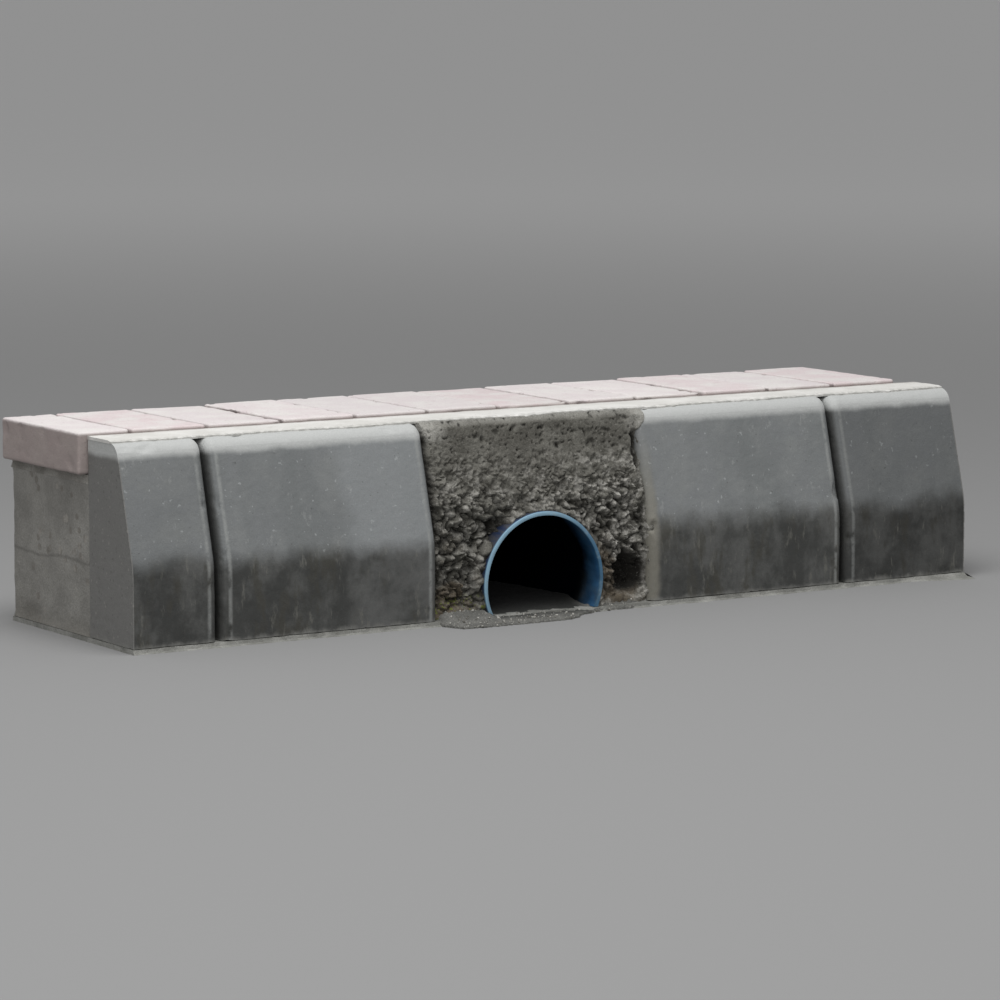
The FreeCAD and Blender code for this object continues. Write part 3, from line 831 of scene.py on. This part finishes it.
def paving(name, pinkness, lightness):
    """One block's colour: pink or cream, clouded, with dirt in its pores."""
    f = Finish(name)
    cloud = f.noise(21, 5, 0.6)
    grain = f.noise(650, 3, 0.6)
    pink = tuple(c * lightness for c in (0.700, 0.700 - 0.085 * pinkness, 0.700 - 0.078 * pinkness))
    cream = tuple(c * lightness for c in (0.735, 0.705, 0.690))
    colour = f.mix(f.band(cloud, 0.38, 0.66), pink, cream)
    dirt = f.band(f.noise(80, 5, 0.7), 0.58, 0.74)
    colour = f.mix(f.calc("MULTIPLY", dirt, 0.35), colour, (0.34, 0.29, 0.27))
    below = f.band(f.z, SKIM_HIGH.z + 0.004, SKIM_HIGH.z - 0.001)
    colour = f.mix(f.calc("MULTIPLY", below, 0.75), colour, (0.25, 0.19, 0.175))
    pores = f.band(f.noise(300, 2), 0.66, 0.72)
    colour = f.mix(f.calc("MULTIPLY", pores, 0.5), colour, (0.30, 0.25, 0.23))
    colour = f.mix(f.band(grain, 0.3, 0.75), f.mix(1.0, colour, (0.90, 0.89, 0.88), "MULTIPLY"), colour)
    return f.done(colour, 0.82, (grain, 0.0003), (f.noise(110, 4), 0.0009))


for number, node in enumerate(PAVERS):
    draw = random.Random(40 + number)
    low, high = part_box(node)
    bm = block(low, high)
    bmesh.ops.bevel(bm, geom=bm.edges[:], offset=PAVER_ARRIS, offset_type="OFFSET", segments=3, profile=0.5,
                    affect="EDGES", material=-1)
    sliced(bm, PAVER_GRID)
    seed = Vector((0, 0, number * 2.0))
    middle = (low + high) / 2
    sunk, roll, pitch = draw.uniform(0.0004, 0.0022), draw.uniform(-0.010, 0.010), draw.uniform(-0.006, 0.006)

    def wear(p):
        q = p + seed
        corner = spread(min(p.x - low.x, high.x - p.x), 0.014, 0.0)
        corner += spread(min(p.y - low.y, high.y - p.y), 0.014, 0.0)
        chip = max(wave(q, 0.022, 3) - 0.30, 0.0) * 0.0065 * min(corner, 1.0)
        return 0.0004 * (1 + wave(q, 0.05)) + 0.0002 * (1 + wave(q, 0.010, 3)) + chip

    worn(bm, wear)
    for v in bm.verts:
        v.co.z -= sunk + abs(roll) * (high.x - low.x) / 2 + abs(pitch) * 0.02
        v.co.z += roll * (v.co.x - middle.x) + pitch * (v.co.y - middle.y) * 0.2
    look = paving(f"paving_{number + 1:02d}", draw.uniform(0.45, 1.15), draw.uniform(0.92, 1.03))
    piece(bm, f"paving_block_{number + 1:02d}", look, "paver", node, sharp=45)

# Joint sand. Swept into the narrow joints between the blocks and washed down a little.
bm = bmesh.new()
for left, right in zip(PAVERS, PAVERS[1:]):
    low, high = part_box(left)[1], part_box(right)[0]
    strip = bmesh.ops.create_cube(bm, size=1.0)["verts"]
    for v in strip:
        v.co.x = (low.x if v.co.x < 0 else high.x)
        v.co.y = (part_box(left)[0].y + 0.004 if v.co.y < 0 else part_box(left)[1].y - 0.003)
        v.co.z = (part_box(left)[0].z if v.co.z < 0 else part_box(left)[1].z - 0.0050)
sliced(bm, 0.004, axes=(1,))
for v in bm.verts:
    if v.co.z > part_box(PAVERS[0])[0].z + 0.01:
        v.co.z -= 0.0015 * (1 + wave(v.co, 0.02, 3))
swept_sand = bed_mortar("joint_sand", (0.22, 0.19, 0.175), (0.38, 0.34, 0.32))
piece(bm, "joint_sand", swept_sand, "bed_mortar", sharp=60)

# ------------------------------------------------------------------------------
# Paver bed and backing. Behind the stones, plain site-mixed concrete was cast round
# the pipe and struck off level, and the blocks were bedded on mortar spread over it.
BACKING_GRID = 0.006
LIFT_HEIGHT = 0.105
BACKING_LOW, BACKING_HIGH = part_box("backing_concrete")


def backing_concrete():
    """Site concrete: cloudy grey, with stones showing and lift lines along it."""
    f = Finish("backing_concrete")
    cloud = f.noise(12, 5, 0.6)
    sand = f.noise(420, 4, 0.6)
    colour = f.mix(f.band(cloud, 0.35, 0.68), (0.230, 0.224, 0.208), (0.330, 0.322, 0.300))
    stones = f.band(f.cells(58), 0.34, 0.22)
    shown = f.band(f.noise(9, 3), 0.46, 0.56)
    tint = f.mix(f.band(f.noise(60, 1), 0.4, 0.6), (0.19, 0.175, 0.155), (0.36, 0.34, 0.31))
    colour = f.mix(f.calc("MULTIPLY", f.calc("MULTIPLY", stones, shown), 0.7), colour, tint)
    from_lift = f.calc("SUBTRACT", f.calc("ADD", f.z, f.calc("MULTIPLY", f.noise(7, 3), 0.03)), LIFT_HEIGHT)
    lift = f.band(f.calc("ABSOLUTE", from_lift), 0.0035, 0.0)
    colour = f.mix(f.calc("MULTIPLY", lift, 0.5), colour, (0.13, 0.125, 0.115))
    damp = f.band(f.calc("ADD", f.z, f.calc("MULTIPLY", f.noise(16, 4), 0.05)), 0.065, 0.030)
    colour = f.mix(f.calc("MULTIPLY", damp, 0.5), colour, (0.14, 0.13, 0.11))
    colour = f.mix(f.band(sand, 0.3, 0.7), f.mix(1.0, colour, (0.78, 0.78, 0.77), "MULTIPLY"), colour)
    return f.done(colour, 0.92, (sand, 0.0005), (f.noise(90, 4), 0.0016))


def backing_wear(p):
    if p.z < BACKING_LOW.z + 0.0005 or p.z > BACKING_HIGH.z - 0.0005:
        return 0.0002
    honeycomb = max(wave(p, 0.10) - 0.15, 0.0) * max(wave(p, 0.014, 2), 0.0) * 0.012
    return 0.0012 * (1 + wave(p, 0.06, 3)) + 0.0004 * (1 + wave(p, 0.012, 2)) + honeycomb


def bed_wear(p):
    if p.z < BACKING_HIGH.z + 0.0005:
        return 0.0
    return 0.0016 * (1 + wave(p, 0.03, 3)) + 0.0008 * (1 + wave(p, 0.008, 2))


bm = block(BACKING_LOW, BACKING_HIGH)
uprights = [e for e in bm.edges if abs(e.verts[0].co.z - e.verts[1].co.z) > 0.01]
bmesh.ops.bevel(bm, geom=uprights, offset=0.004, offset_type="OFFSET", segments=2, profile=0.5,
                affect="EDGES", material=-1)
sliced(bm, BACKING_GRID)
worn(bm, backing_wear)
bm = carved(bm, pipe_bar(PIPE_RADIUS - 0.001))
piece(bm, "cast_backing", backing_concrete(), "backing", "backing_concrete", sharp=50)

bm = block(*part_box("paver_bed"))
sliced(bm, 0.005)
worn(bm, bed_wear)
paver_mortar = bed_mortar("paver_bed_mortar", (0.25, 0.24, 0.22), (0.38, 0.37, 0.345))
piece(bm, "spread_paver_bed", paver_mortar, "bed_mortar", "paver_bed", sharp=50)

# ------------------------------------------------------------------------------
# Floor, light and camera. A studio floor painted with a gradient of light, dark grey near
# the part and pale far off, a wide soft lamp overhead and a little in front, an even
# surround, and a long lens a few metres away.
FLOOR_COLOUR = (0.26, 0.26, 0.26)
FAR_FLOOR = (0.64, 0.64, 0.64)
SURROUND = 0.42
HORIZON = 0.38

bm = bmesh.new()
bmesh.ops.create_circle(bm, cap_ends=True, segments=96, radius=60.0)
mesh = bpy.data.meshes.new("floor")
bm.to_mesh(mesh)
bm.free()
floor = bpy.data.objects.new("floor", mesh)
bpy.context.scene.collection.objects.link(floor)
f = Finish("studio_floor")
away = f.node("ShaderNodeVectorMath", f.place, operation="LENGTH").outputs["Value"]
# The floor's colour is painted light and shade: dark near the part, paler far off.
floor.data.materials.append(f.done(f.mix(f.band(away, 1.0, 9.0), FLOOR_COLOUR, FAR_FLOOR), 0.9))

world = bpy.data.worlds.new("surround")
bpy.context.scene.world = world
world.use_nodes = True
tree = world.node_tree
background = tree.nodes["Background"]
seen = tree.nodes.new("ShaderNodeLightPath")
shade = tree.nodes.new("ShaderNodeMix")
shade.data_type = "FLOAT"
shade.inputs[2].default_value = SURROUND
shade.inputs[3].default_value = HORIZON
tree.links.new(seen.outputs["Is Camera Ray"], shade.inputs[0])
tree.links.new(shade.outputs[0], background.inputs["Strength"])
background.inputs["Color"].default_value = (1, 1, 1, 1)


def lamp(name, place, size, watts):
    """A square soft lamp that faces the middle of the part."""
    light = bpy.data.lights.new(name, "AREA")
    light.size = size
    light.energy = watts
    made = bpy.data.objects.new(name, light)
    made.location = place
    made.rotation_mode = "QUATERNION"
    made.rotation_quaternion = (Vector((0, 0, 0.1)) - made.location).to_track_quat("-Z", "Y")
    bpy.context.scene.collection.objects.link(made)


lamp("overhead", Vector((-0.6, -0.9, 3.2)), 2.2, 88)
lamp("front", Vector((-2.6, -3.2, 1.8)), 2.2, 26)

YAW = math.radians(32.05)
LOOK_DOWN = math.radians(7.18)
DISTANCE = 5.297
AIM_ALONG = -0.1033
AIM_HEIGHT = 0.1446
LENS = 160.87
kerb_middle = (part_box("kerb_stone_left_end")[0].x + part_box("kerb_stone_right_end")[1].x) / 2
AIM = Vector((kerb_middle + AIM_ALONG, FACE_Y, AIM_HEIGHT))
level = math.cos(LOOK_DOWN)
back = Vector((-math.sin(YAW) * level, -math.cos(YAW) * level, math.sin(LOOK_DOWN)))
camera = bpy.data.objects.new("camera", bpy.data.cameras.new("camera"))
camera.data.sensor_width = 36.0
camera.data.lens = LENS
camera.data.clip_end = 300.0
camera.location = AIM + back * DISTANCE
camera.rotation_mode = "QUATERNION"
camera.rotation_quaternion = (-back).to_track_quat("-Z", "Y")
bpy.context.scene.collection.objects.link(camera)
bpy.context.scene.camera = camera
bpy.context.scene.view_settings.view_transform = "Standard"
